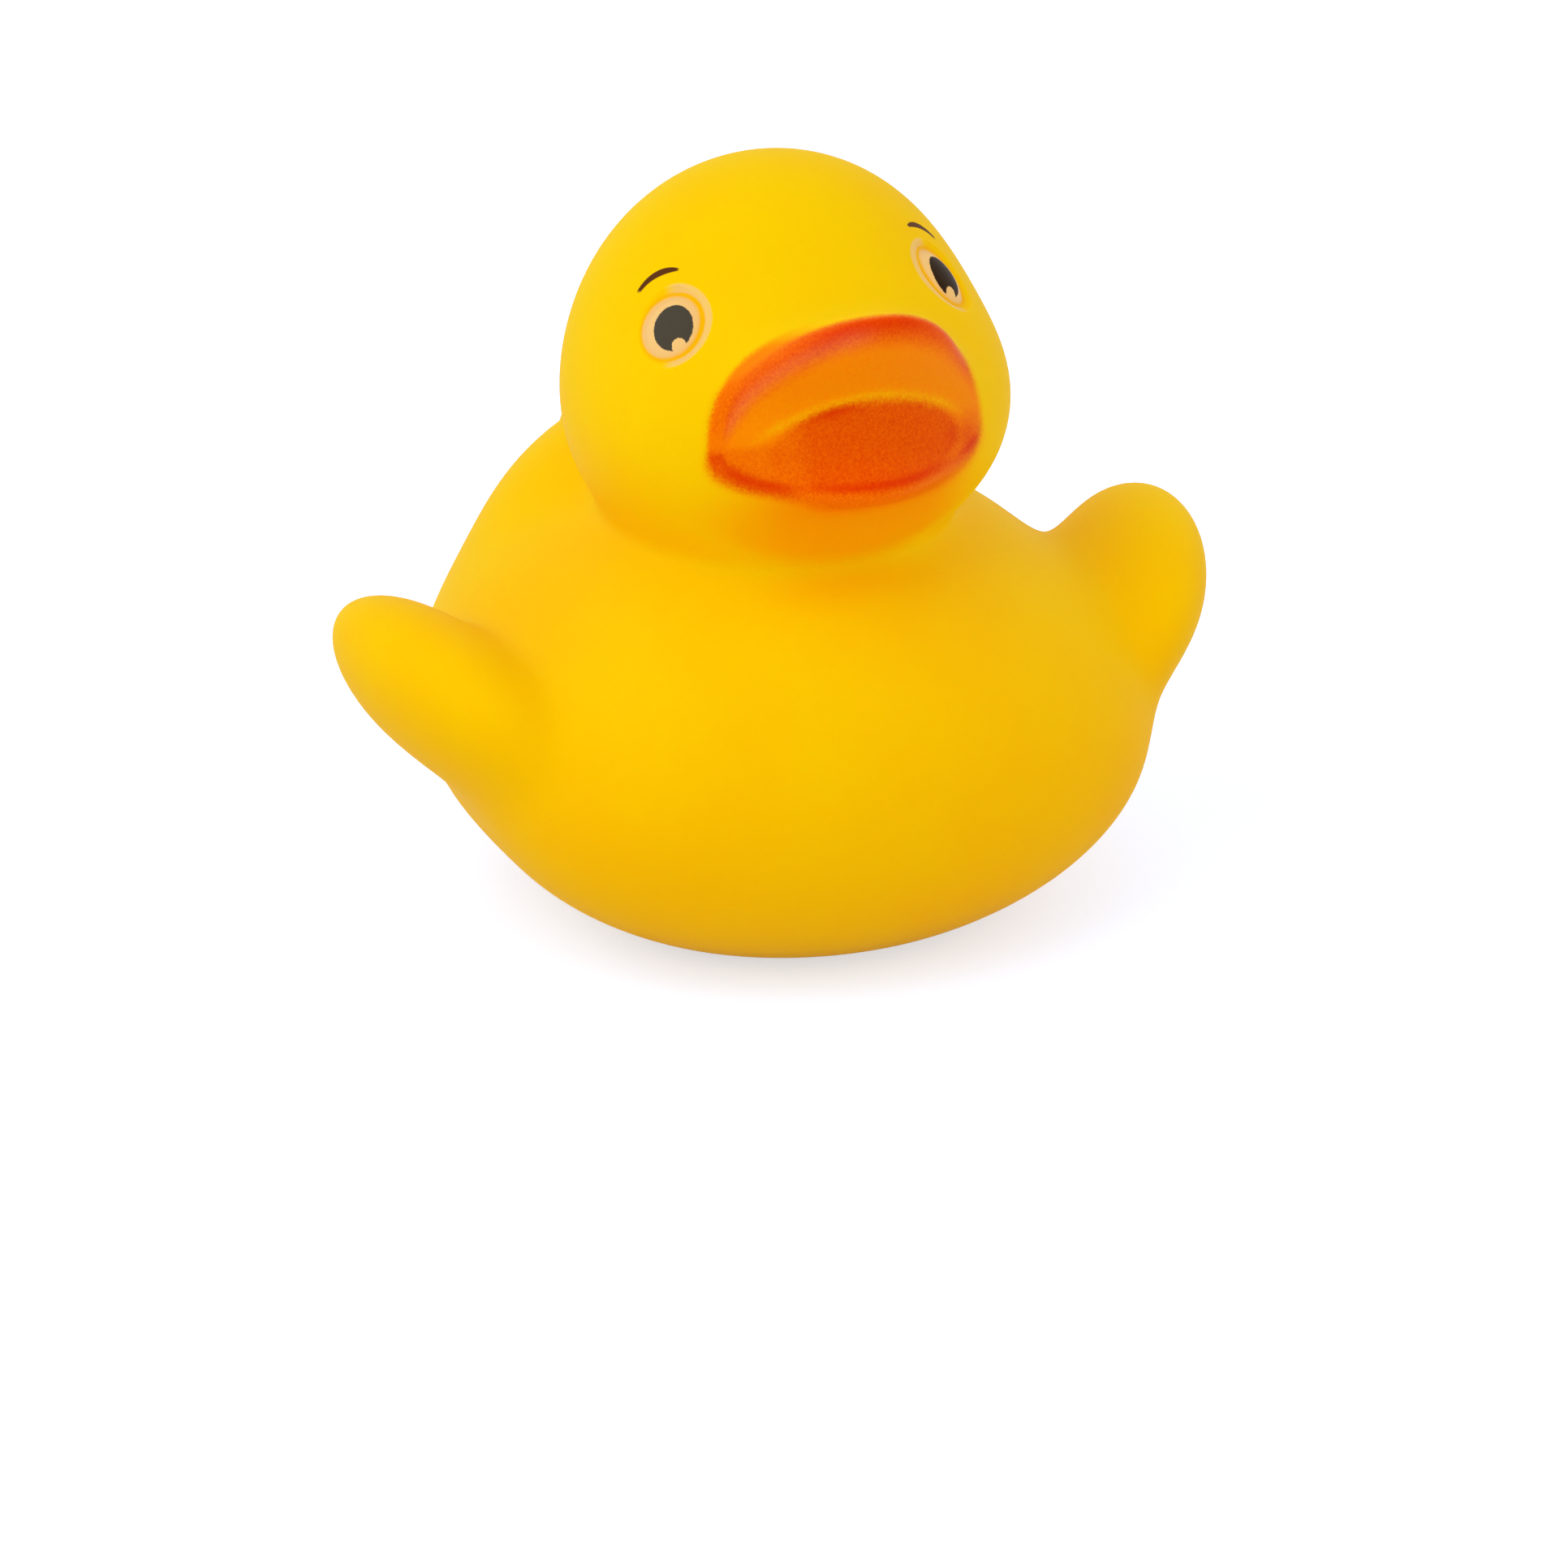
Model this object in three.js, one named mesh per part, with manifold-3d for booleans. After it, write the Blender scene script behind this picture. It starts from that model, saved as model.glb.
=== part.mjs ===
// Bath duck, a hollow soft vinyl toy moulded in one piece.
// Millimetres, +Z up. The duck looks along -Y and its left side is +X.
// The origin is on the surface that it stands on, under the middle of its box.
import * as THREE from 'three';
import { mergeVertices } from 'three/addons/utils/BufferGeometryUtils.js';
import Module from 'manifold-3d';

const degree = Math.PI / 180;

// Skin of the moulding
const wall = 1.6;
const ventDiameter = 3.0;
const baseEdgeRadius = 1.5;

// Trunk: one large egg, a breast that fills it out in front, a raised back and a tail
const trunkWidth = 39.5;
const trunkLength = 41.2;
const trunkHeight = 26.6;
const trunkSunk = 2.0;
const breastWidth = 39.2;
const breastLength = 29.8;
const breastHeight = 22.5;
const breastForward = 8.4;
const breastSunk = 0.6;
const backWidth = 27.4;
const backLength = 17.5;
const backHeight = 21.0;
const backBehind = 8.5;
const backTop = 27.3;
const trunkBlend = 4.1;
const tailRootRadius = 10.0;
const tailRootRise = 2.0;
const tailTipRadius = 2.6;
const tailReach = 4.0;
const tailTop = 25.6;
const tailFlat = 0.7;
const tailBlend = 6.0;

// Head: a crown above a pair of full cheeks
const headTop = 43.7;
const crownWidth = 23.9;
const crownLength = 20.6;
const crownHeight = 24.7;
const cheekWidth = 26.0;
const cheekLength = 21.2;
const cheekHeight = 19.0;
const cheekForward = 2.5;
const cheekDrop = 1.8;
const headBehindBreast = 7.0;
const headBlend = 2.9;
const neckBlend = 3.0;

// Wings: flat thumbs that grow out of the flanks, rise and turn to the rear
const wingRootWidth = 13.5;
const wingTipWidth = 11.9;
const wingThickness = 0.66;
const wingRootSink = 1.2;
const wingRootForward = 5.8;
const wingRootLevel = 13.6;
const wingRise = 2.0;
const wingSpread = 2.7;
const wingSweep = 3.9;
const wingFaceAngle = 48 * degree;
const wingBlend = 1.9;

// Bill: two open jaws behind rounded lips, tipped up
const mouthHalfWidth = 8.0;
const billPitch = 18 * degree;
const billFlare = 0.16;
const upperJawHeight = 6.9;
const upperJawFullness = 2.35;
const lowerJawHeight = 3.9;
const lowerJawFullness = 2.0;
const cornerAboveCheek = 0.8;
const mouthDepth = 4.5;
const mouthRise = 2.6;
const palateSlope = 0.77;
const palateHollow = 0.35;
const creaseBlend = 0.7;
const tongueDish = 0.8;
const tongueShare = 0.78;
const lowerLipBead = 0.35;
const lowerLipShare = 0.3;
const lipRoundness = 2.6;
const billRootBlend = 1.6;

// Eyes: a dome in a shallow round socket, on each side of the forehead
const eyeAzimuth = 54 * degree;
const eyeLevel = 37.1;
const socketWidth = 4.5;
const socketHeight = 4.8;
const socketDepth = 0.4;
const eyeballWidth = 3.4;
const eyeballHeight = 3.8;
const eyeballProud = 0.2;
const eyeBlend = 0.15;

// Facets
const outerCell = 1.7;
const innerCell = 2.8;
const chordError = 0.06;
const eyeChordError = 0.015;
const shortestEdge = 0.5;
const refinements = 3;

// Steps that find a point on a form
const slopeStep = 0.01;
const settlePasses = 4;
const flattestSlope = 0.05;
const halvings = 40;

// Signed distances, negative inside

function smoothUnion(a, b, blend) {
  const h = Math.max(blend - Math.abs(a - b), 0) / blend;
  return Math.min(a, b) - (h * h * h * blend) / 6;
}

function smoothCommon(a, b, blend) {
  return -smoothUnion(-a, -b, blend);
}

function egg(p, centre, width, length, height) {
  const x = (p.x - centre.x) / (width / 2);
  const y = (p.y - centre.y) / (length / 2);
  const z = (p.z - centre.z) / (height / 2);
  const reach = Math.hypot(x, y, z);
  const slope = Math.hypot((2 * x) / width, (2 * y) / length, (2 * z) / height);
  return slope > 0 ? (reach * (reach - 1)) / slope : -Math.min(width, length, height) / 2;
}

// A round cone with a ball at each end, squeezed to a share of its width along thin
function flatThumb(p, a, b, radiusA, radiusB, thin, share) {
  const axis = b.clone().sub(a);
  const length = axis.length();
  axis.normalize();
  const from = p.clone().sub(a);
  from.addScaledVector(thin, from.dot(thin) * (1 / share - 1));
  const along = from.dot(axis);
  const out = from.addScaledVector(axis, -along).length();
  const taper = (radiusA - radiusB) / length;
  const lean = Math.sqrt(1 - taper * taper);
  const foot = lean * along - taper * out;
  let distance = lean * out + taper * along - radiusA;
  if (foot < 0) distance = Math.hypot(out, along) - radiusA;
  if (foot > lean * length) distance = Math.hypot(out, along - length) - radiusB;
  return distance * Math.sqrt(share);
}

// Trunk

const trunkCentre = new THREE.Vector3(0, 0, trunkHeight / 2 - trunkSunk);
const breastCentre = new THREE.Vector3(0, -breastForward, breastHeight / 2 - breastSunk);
const backCentre = new THREE.Vector3(0, backBehind, backTop - backHeight / 2);
const tailTip = new THREE.Vector3(0, trunkLength / 2 + tailReach - tailTipRadius, tailTop - tailTipRadius);
const tailRoot = new THREE.Vector3(0, trunkLength / 2 - tailRootRadius, trunkCentre.z + tailRootRise);
const tailThin = new THREE.Vector3(0, tailRoot.z - tailTip.z, tailTip.y - tailRoot.y).normalize();

function trunk(p) {
  const main = egg(p, trunkCentre, trunkWidth, trunkLength, trunkHeight);
  const breast = egg(p, breastCentre, breastWidth, breastLength, breastHeight);
  const back = egg(p, backCentre, backWidth, backLength, backHeight);
  const tail = flatThumb(p, tailRoot, tailTip, tailRootRadius, tailTipRadius, tailThin, tailFlat);
  const filled = smoothUnion(smoothUnion(main, breast, trunkBlend), back, trunkBlend);
  return smoothCommon(smoothUnion(filled, tail, tailBlend), -p.z, baseEdgeRadius);
}

// Head

const crownCentre = new THREE.Vector3(0, breastCentre.y + headBehindBreast, headTop - crownHeight / 2);
const cheekCentre = new THREE.Vector3(0, crownCentre.y - cheekForward, crownCentre.z - cheekDrop);

function head(p) {
  const crown = egg(p, crownCentre, crownWidth, crownLength, crownHeight);
  const cheeks = egg(p, cheekCentre, cheekWidth, cheekLength, cheekHeight);
  return smoothUnion(crown, cheeks, headBlend);
}

// How far the head reaches from its middle in a level direction, at a height
function headReach(azimuth, height) {
  const point = new THREE.Vector3();
  let near = 0;
  let far = crownWidth + cheekWidth;
  for (let halving = 0; halving < halvings; halving += 1) {
    const reach = (near + far) / 2;
    point.set(reach * Math.sin(azimuth), crownCentre.y - reach * Math.cos(azimuth), height);
    if (head(point) < 0) near = reach;
    else far = reach;
  }
  return point;
}

// Wings, worked out on the duck's left side and mirrored

const wingRoot = new THREE.Vector3(trunkWidth / 2 - wingRootSink, -wingRootForward, wingRootLevel);
const wingTip = wingRoot.clone().add(new THREE.Vector3(wingSpread, wingSweep, wingRise));
const wingThin = new THREE.Vector3(-Math.sin(wingFaceAngle), -Math.cos(wingFaceAngle), 0);
const wingAxis = wingTip.clone().sub(wingRoot).normalize();
wingThin.addScaledVector(wingAxis, -wingThin.dot(wingAxis)).normalize();

function wings(p) {
  const onLeft = new THREE.Vector3(Math.abs(p.x), p.y, p.z);
  const rootRadius = wingRootWidth / 2;
  const tipRadius = wingTipWidth / 2;
  return flatThumb(onLeft, wingRoot, wingTip, rootRadius, tipRadius, wingThin, wingThickness);
}

// Bill. Its own frame starts between the corners of the mouth, with reach along the tipped axis.

const cornerAzimuth = Math.asin(mouthHalfWidth / (cheekWidth / 2));
const mouthMiddle = headReach(cornerAzimuth, cheekCentre.z + cornerAboveCheek);
mouthMiddle.x = 0;

// The reach at which the mouth's own surface lies: a roof that leans out to the upper lip, and a
// dished tongue below it that ends in a groove behind the bead of the lower lip
function mouthSurface(across, rise) {
  const narrow = 1 - across * across;
  const open = Math.max(narrow, 0);
  const crease = mouthDepth * narrow;
  const aboveCrease = rise - mouthRise * narrow;
  const hollow = (palateHollow * Math.max(aboveCrease, 0)) / (upperJawHeight - mouthRise);
  const roof = crease + palateSlope * aboveCrease * (1 - palateHollow + hollow);
  const floorLength = mouthRise * narrow + lowerJawHeight * Math.sqrt(open);
  const down = -aboveCrease / Math.max(floorLength, lowerJawHeight / 4);
  const dish = Math.sin(Math.PI * THREE.MathUtils.clamp(down / tongueShare, 0, 1));
  const bead = Math.sin(Math.PI * THREE.MathUtils.clamp((down - tongueShare) / lowerLipShare, 0, 1));
  const floor = crease + open * (lowerLipBead * bead - tongueDish * dish);
  return smoothCommon(roof, floor, creaseBlend);
}

// Distance to an oval about the origin of its plane, squarer than an ellipse where fullness is over 2
function fullOval(x, y, halfWidth, halfHeight, fullness) {
  const across = Math.abs(x) / halfWidth;
  const upDown = Math.abs(y) / halfHeight;
  const size = Math.max((across ** fullness + upDown ** fullness) ** (1 / fullness), Number.EPSILON);
  const slopeX = (across / size) ** (fullness - 1) / halfWidth;
  const slopeY = (upDown / size) ** (fullness - 1) / halfHeight;
  const slope = Math.hypot(slopeX, slopeY);
  return slope > 0 ? (size - 1) / slope : -Math.min(halfWidth, halfHeight);
}

function bill(p) {
  const y = mouthMiddle.y - p.y;
  const z = p.z - mouthMiddle.z;
  const reach = y * Math.cos(billPitch) + z * Math.sin(billPitch);
  const rise = z * Math.cos(billPitch) - y * Math.sin(billPitch);
  const halfWidth = Math.max(mouthHalfWidth - billFlare * reach, mouthHalfWidth / 2);
  const jawHeight = rise > 0 ? upperJawHeight : lowerJawHeight;
  const fullness = rise > 0 ? upperJawFullness : lowerJawFullness;
  const outline = fullOval(p.x, rise, halfWidth, jawHeight, fullness);
  const front = (reach - mouthSurface(p.x / halfWidth, rise)) * Math.cos(Math.atan(palateSlope));
  const behind = -reach - mouthDepth;
  return Math.max(smoothCommon(outline, front, lipRoundness), behind);
}

// Eyes, worked out on the duck's left side and mirrored

const eyeCentre = headReach(eyeAzimuth, eyeLevel);
const eyeOut = slopeOf(head, eyeCentre).normalize();
const eyeAcross = new THREE.Vector3(0, 0, 1).cross(eyeOut).normalize();
const eyeUp = eyeOut.clone().cross(eyeAcross);

function domeAtEye(p, width, height, depth, centreDepth) {
  const from = new THREE.Vector3(Math.abs(p.x), p.y, p.z).sub(eyeCentre);
  const local = new THREE.Vector3(from.dot(eyeAcross), from.dot(eyeUp), from.dot(eyeOut) + centreDepth);
  return egg(local, new THREE.Vector3(), width, height, depth * 2);
}

function withEyes(p, skin) {
  const socket = domeAtEye(p, socketWidth, socketHeight, socketDepth, 0);
  const eyeball = domeAtEye(p, eyeballWidth, eyeballHeight, socketDepth + eyeballProud, socketDepth);
  return smoothUnion(smoothCommon(skin, -socket, eyeBlend), eyeball, eyeBlend);
}

// The whole outside of the duck
function duck(p) {
  const bird = smoothUnion(smoothUnion(trunk(p), head(p), neckBlend), wings(p), wingBlend);
  return withEyes(p, smoothUnion(bird, bill(p), billRootBlend));
}

// The hollow behind it, one wall thickness inside the skin
function hollow(p) {
  return duck(p) + wall;
}

function slopeOf(form, p) {
  const slope = new THREE.Vector3();
  for (const axis of ['x', 'y', 'z']) {
    const ahead = p.clone();
    const back = p.clone();
    ahead[axis] += slopeStep;
    back[axis] -= slopeStep;
    slope[axis] = (form(ahead) - form(back)) / (2 * slopeStep);
  }
  return slope;
}

function settle(form, p) {
  for (let pass = 0; pass < settlePasses; pass += 1) {
    const slope = slopeOf(form, p);
    p.addScaledVector(slope, -form(p) / Math.max(slope.lengthSq(), flattestSlope));
  }
  return p;
}

// Lays a net of four-sided cells over a form: one knot in each cube that the surface crosses,
// and a facet pair across each cube edge that it cuts. The cubes mirror each other about X = 0.
function net(form, cell) {
  const half = Math.ceil(trunkWidth / cell);
  const columns = 2 * half;
  const rows = Math.ceil((2 * trunkLength) / cell);
  const layers = Math.ceil((headTop + 4 * cell) / cell);
  const corner = new THREE.Vector3(-half, -rows / 2, -1.5).multiplyScalar(cell);
  const place = (i, j, k) => new THREE.Vector3(i, j, k).multiplyScalar(cell).add(corner);
  const index = (i, j, k) => (k * (rows + 1) + j) * (columns + 1) + i;
  const value = new Float64Array((columns + 1) * (rows + 1) * (layers + 1));
  for (let k = 0; k <= layers; k += 1) {
    for (let j = 0; j <= rows; j += 1) {
      for (let i = 0; i <= columns; i += 1) value[index(i, j, k)] = form(place(i, j, k));
    }
  }
  const knots = [];
  const knotOf = new Map();
  for (let k = 0; k < layers; k += 1) {
    for (let j = 0; j < rows; j += 1) {
      for (let i = 0; i < columns; i += 1) {
        const knot = knotInCube(value, index, place, i, j, k);
        if (!knot) continue;
        knotOf.set(index(i, j, k), knots.length);
        knots.push(settle(form, knot));
      }
    }
  }
  const facets = [];
  const steps = [[1, 0, 0], [0, 1, 0], [0, 0, 1]];
  for (let k = 1; k < layers; k += 1) {
    for (let j = 1; j < rows; j += 1) {
      for (let i = 1; i < columns; i += 1) {
        const here = value[index(i, j, k)];
        steps.forEach(([di, dj, dk], axis) => {
          const there = value[index(i + di, j + dj, k + dk)];
          if (here < 0 === there < 0) return;
          const [u, v] = [steps[(axis + 1) % 3], steps[(axis + 2) % 3]];
          const round = [[0, 0], [1, 0], [1, 1], [0, 1]].map(([a, b]) =>
            knotOf.get(index(i - a * u[0] - b * v[0], j - a * u[1] - b * v[1], k - a * u[2] - b * v[2])));
          facets.push(...splitQuad(knots, here < 0 ? round : round.reverse()));
        });
      }
    }
  }
  return { knots, facets };
}

function knotInCube(value, index, place, i, j, k) {
  const sum = new THREE.Vector3();
  let crossings = 0;
  for (let edge = 0; edge < 12; edge += 1) {
    const axis = edge >> 2;
    const ends = [0, 1].map((end) => {
      const offset = [0, 0, 0];
      offset[axis] = end;
      offset[(axis + 1) % 3] = edge & 1;
      offset[(axis + 2) % 3] = (edge >> 1) & 1;
      return [i + offset[0], j + offset[1], k + offset[2]];
    });
    const [low, high] = ends.map((end) => value[index(...end)]);
    if (low < 0 === high < 0) continue;
    sum.add(place(...ends[0]).lerp(place(...ends[1]), low / (low - high)));
    crossings += 1;
  }
  return crossings ? sum.divideScalar(crossings) : null;
}

function splitQuad(knots, [a, b, c, d]) {
  const shortFirst = knots[a].distanceTo(knots[c]) <= knots[b].distanceTo(knots[d]);
  return shortFirst ? [[a, b, c], [a, c, d]] : [[a, b, d], [b, c, d]];
}

// The eyes are small and shallow, so their facets follow the form more closely
function allowedError(p) {
  const fromEye = new THREE.Vector3(Math.abs(p.x), p.y, p.z).distanceTo(eyeCentre);
  return fromEye < socketHeight ? eyeChordError : chordError;
}

// Halves each edge whose middle lies further from the form than it may
function refine(form, { knots, facets }) {
  const middleOf = new Map();
  const edgeKey = (a, b) => (a < b ? `${a},${b}` : `${b},${a}`);
  for (const facet of facets) {
    facet.forEach((a, side) => {
      const b = facet[(side + 1) % 3];
      const key = edgeKey(a, b);
      if (middleOf.has(key)) return;
      const straight = knots[a].clone().lerp(knots[b], 0.5);
      const settled = settle(form, straight.clone());
      const long = knots[a].distanceTo(knots[b]) > shortestEdge;
      const split = long && settled.distanceTo(straight) > allowedError(straight);
      middleOf.set(key, split ? knots.push(settled) - 1 : null);
    });
  }
  const finer = facets.flatMap((facet) => splitFacet(facet, middleOf, edgeKey));
  return { knots, facets: finer };
}

function splitFacet([a, b, c], middleOf, edgeKey) {
  const [ab, bc, ca] = [[a, b], [b, c], [c, a]].map((ends) => middleOf.get(edgeKey(...ends)));
  const count = [ab, bc, ca].filter((middle) => middle !== null).length;
  if (count === 0) return [[a, b, c]];
  if (count === 3) return [[a, ab, ca], [ab, b, bc], [ca, bc, c], [ab, bc, ca]];
  if (ab === null && ca === null) return [[a, b, bc], [a, bc, c]];
  if (ab === null && bc === null) return [[b, c, ca], [b, ca, a]];
  if (bc === null && ca === null) return [[c, a, ab], [c, ab, b]];
  if (ab === null) return [[c, ca, bc], [a, b, bc], [a, bc, ca]];
  if (bc === null) return [[a, ab, ca], [b, c, ca], [b, ca, ab]];
  return [[b, bc, ab], [c, a, ab], [c, ab, bc]];
}

function geometryOf({ knots, facets }) {
  const geometry = new THREE.BufferGeometry();
  const places = knots.flatMap((knot) => knot.toArray());
  geometry.setAttribute('position', new THREE.Float32BufferAttribute(places, 3));
  geometry.setIndex(facets.flat());
  return geometry;
}

const wasm = await Module();
wasm.setup();

function solidOf(geometry) {
  const vertProperties = new Float32Array(geometry.attributes.position.array);
  const triVerts = new Uint32Array(geometry.index.array);
  return new wasm.Manifold(new wasm.Mesh({ numProp: 3, vertProperties, triVerts }));
}

function geometryFromSolid(solid) {
  const mesh = solid.getMesh();
  const geometry = new THREE.BufferGeometry();
  geometry.setAttribute('position', new THREE.BufferAttribute(mesh.vertProperties, 3));
  geometry.setIndex(new THREE.BufferAttribute(mesh.triVerts, 1));
  return geometry;
}

// The outside, laid as a net and refined where it bends most
function outerSkin() {
  let skin = net(duck, outerCell);
  for (let pass = 0; pass < refinements; pass += 1) skin = refine(duck, skin);
  return solidOf(geometryOf(skin));
}

// The hollow. A pocket that the wall cuts off, as in the tip of the tail, fills with vinyl.
function innerSkin() {
  const pockets = solidOf(geometryOf(net(hollow, innerCell))).decompose();
  return pockets.reduce((largest, pocket) => (pocket.volume() > largest.volume() ? pocket : largest));
}

// The hole through the middle of the base, where the moulding drains and breathes
function vent() {
  const height = 4 * wall;
  const drill = new THREE.CylinderGeometry(ventDiameter / 2, ventDiameter / 2, height, 24);
  drill.rotateX(Math.PI / 2);
  drill.deleteAttribute('normal');
  drill.deleteAttribute('uv');
  return solidOf(mergeVertices(drill));
}

const moulding = geometryFromSolid(outerSkin().subtract(innerSkin()).subtract(vent()));
moulding.computeBoundingBox();
const middle = moulding.boundingBox.getCenter(new THREE.Vector3());
moulding.translate(0, -middle.y, 0);
moulding.computeVertexNormals();

const vinyl = new THREE.MeshStandardMaterial({ color: 0xf7c400, roughness: 0.55, metalness: 0 });
const duckMesh = new THREE.Mesh(moulding, vinyl);
duckMesh.name = 'duck_moulding';

const bathDuck = new THREE.Group();
bathDuck.add(duckMesh);

export default bathDuck;
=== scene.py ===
"""A bath duck: a hollow soft vinyl toy, moulded in one piece and sprayed with paint by hand."""

import bpy
import numpy as np
from mathutils import Matrix, Vector


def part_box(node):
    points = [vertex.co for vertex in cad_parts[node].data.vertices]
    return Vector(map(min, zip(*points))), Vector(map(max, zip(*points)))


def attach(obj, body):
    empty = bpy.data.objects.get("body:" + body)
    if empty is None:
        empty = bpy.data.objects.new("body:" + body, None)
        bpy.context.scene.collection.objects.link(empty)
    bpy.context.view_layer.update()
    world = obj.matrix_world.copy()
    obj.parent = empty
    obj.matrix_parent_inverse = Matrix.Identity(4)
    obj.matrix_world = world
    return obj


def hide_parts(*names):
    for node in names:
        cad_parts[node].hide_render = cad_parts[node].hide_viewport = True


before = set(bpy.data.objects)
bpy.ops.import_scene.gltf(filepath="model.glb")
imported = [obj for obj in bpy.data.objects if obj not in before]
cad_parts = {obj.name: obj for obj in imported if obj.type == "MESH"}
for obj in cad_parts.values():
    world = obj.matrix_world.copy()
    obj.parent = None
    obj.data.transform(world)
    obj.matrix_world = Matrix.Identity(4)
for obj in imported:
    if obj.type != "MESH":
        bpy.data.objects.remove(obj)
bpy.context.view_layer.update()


# The duck's body
# Yellow soft vinyl cast in one hollow piece: a fat egg of a trunk with a raised back and a short
# tail, a round head with full cheeks, and a flat oval wing on each side. All sizes are in
# millimetres. The duck looks along -Y, its left side is +X, and it stands on Z = 0.

TINY = 1e-9


def join(a, b, blend):
    """Distance to two forms that melt into each other over a width."""
    h = np.maximum(blend - np.abs(a - b), 0) / blend
    return np.minimum(a, b) - h**3 * blend / 6


def common(a, b, blend):
    """Distance to what two forms share, with the edge rounded over a width."""
    return -join(-a, -b, blend)


def unit(v):
    """The same direction, of length 1."""
    v = np.array(v, float)
    return v / np.linalg.norm(v)


def mirrored(p):
    """The same points on the duck's left side."""
    return np.concatenate([np.abs(p[..., :1]), p[..., 1:]], -1)


def egg(p, centre, size):
    """Distance to an egg of a width, length and height."""
    half = np.array(size) / 2
    q = (p - np.array(centre)) / half
    reach = np.linalg.norm(q, axis=-1)
    slope = np.linalg.norm(q / half, axis=-1)
    return reach * (reach - 1) / np.maximum(slope, TINY)


def flat_thumb(p, a, b, radius_a, radius_b, thin, share):
    """Distance to a round cone with a ball at each end, squeezed to a share along thin."""
    axis = b - a
    length = np.linalg.norm(axis)
    axis = axis / length
    q = p - a
    q = q + (q @ thin)[..., None] * (1 / share - 1) * thin
    along = q @ axis
    out = np.linalg.norm(q - along[..., None] * axis, axis=-1)
    taper = (radius_a - radius_b) / length
    lean = np.sqrt(1 - taper**2)
    foot = lean * along - taper * out
    side = lean * out + taper * along - radius_a
    near_a = np.hypot(out, along) - radius_a
    near_b = np.hypot(out, along - length) - radius_b
    distance = np.where(foot < 0, near_a, np.where(foot > lean * length, near_b, side))
    return distance * np.sqrt(share)


TRUNK = (39.5, 41.2, 26.6)
TRUNK_SUNK = 2.0
BREAST = (39.2, 29.8, 22.5)
BREAST_FORWARD = 8.4
BREAST_SUNK = 0.6
BACK = (27.4, 17.5, 21.0)
BACK_BEHIND = 8.5
BACK_TOP = 27.3
TRUNK_BLEND = 4.1
TAIL_ROOT_RADIUS = 10.0
TAIL_ROOT_RISE = 2.0
TAIL_TIP_RADIUS = 2.6
TAIL_REACH = 4.0
TAIL_TOP = 25.6
TAIL_FLAT = 0.7
TAIL_BLEND = 6.0
BASE_EDGE = 1.5

trunk_centre = np.array([0, 0, TRUNK[2] / 2 - TRUNK_SUNK])
breast_centre = np.array([0, -BREAST_FORWARD, BREAST[2] / 2 - BREAST_SUNK])
back_centre = np.array([0, BACK_BEHIND, BACK_TOP - BACK[2] / 2])
tail_tip = np.array([0, TRUNK[1] / 2 + TAIL_REACH - TAIL_TIP_RADIUS, TAIL_TOP - TAIL_TIP_RADIUS])
tail_root = np.array([0, TRUNK[1] / 2 - TAIL_ROOT_RADIUS, trunk_centre[2] + TAIL_ROOT_RISE])
tail_thin = unit([0, tail_root[2] - tail_tip[2], tail_tip[1] - tail_root[1]])


def trunk(p):
    """Distance to the trunk, breast, back and tail, cut level at the base."""
    filled = join(egg(p, trunk_centre, TRUNK), egg(p, breast_centre, BREAST), TRUNK_BLEND)
    filled = join(filled, egg(p, back_centre, BACK), TRUNK_BLEND)
    tail = flat_thumb(
        p, tail_root, tail_tip, TAIL_ROOT_RADIUS, TAIL_TIP_RADIUS, tail_thin, TAIL_FLAT
    )
    return common(join(filled, tail, TAIL_BLEND), -p[..., 2], BASE_EDGE)


HEAD_TOP = 43.65
CROWN = (24.0, 20.4, 25.2)
CHEEKS = (24.8, 21.4, 18.3)
CHEEK_FORWARD = 3.6
CHEEK_DROP = 1.0
HEAD_BEHIND_BREAST = 7.0
HEAD_BLEND = 3.9
NECK_BLEND = 3.0

crown_centre = np.array([0, breast_centre[1] + HEAD_BEHIND_BREAST, HEAD_TOP - CROWN[2] / 2])
cheek_centre = crown_centre - np.array([0, CHEEK_FORWARD, CHEEK_DROP])


def head(p):
    """Distance to the crown and the cheeks."""
    return join(egg(p, crown_centre, CROWN), egg(p, cheek_centre, CHEEKS), HEAD_BLEND)


WING = (17.9, 12.0, 7.6)
WING_BEYOND_FLANK = 1.1
WING_FORWARD = 4.0
WING_LEVEL = 15.2
WING_SPREAD_ANGLE = np.radians(16)
WING_RISE_ANGLE = np.radians(8)
WING_LEAN_ANGLE = np.radians(38.5)
WING_BLEND = 4.6

wing_centre = np.array([TRUNK[0] / 2 + WING_BEYOND_FLANK, -WING_FORWARD, WING_LEVEL])
wing_along = np.array([np.sin(WING_SPREAD_ANGLE), np.cos(WING_SPREAD_ANGLE), 0])
wing_along = unit(np.cos(WING_RISE_ANGLE) * wing_along + [0, 0, np.sin(WING_RISE_ANGLE)])
wing_out = unit(np.cross(wing_along, [0, 0, 1]))
wing_up = np.cos(WING_LEAN_ANGLE) * np.cross(wing_out, wing_along)
wing_up += np.sin(WING_LEAN_ANGLE) * wing_out
wing_face = np.cross(wing_up, wing_along)


def wings(p):
    """Distance to the wings: flat ovals with the tip to the rear and the top edge out."""
    q = mirrored(p) - wing_centre
    return egg(np.stack([q @ wing_along, q @ wing_up, q @ wing_face], -1), (0, 0, 0), WING)


# The bill
# Part of the same casting: two short jaws, open wide and tipped up, with a fat rounded lip all
# round, a hollow palate above the crease and a dished tongue below it.

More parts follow.
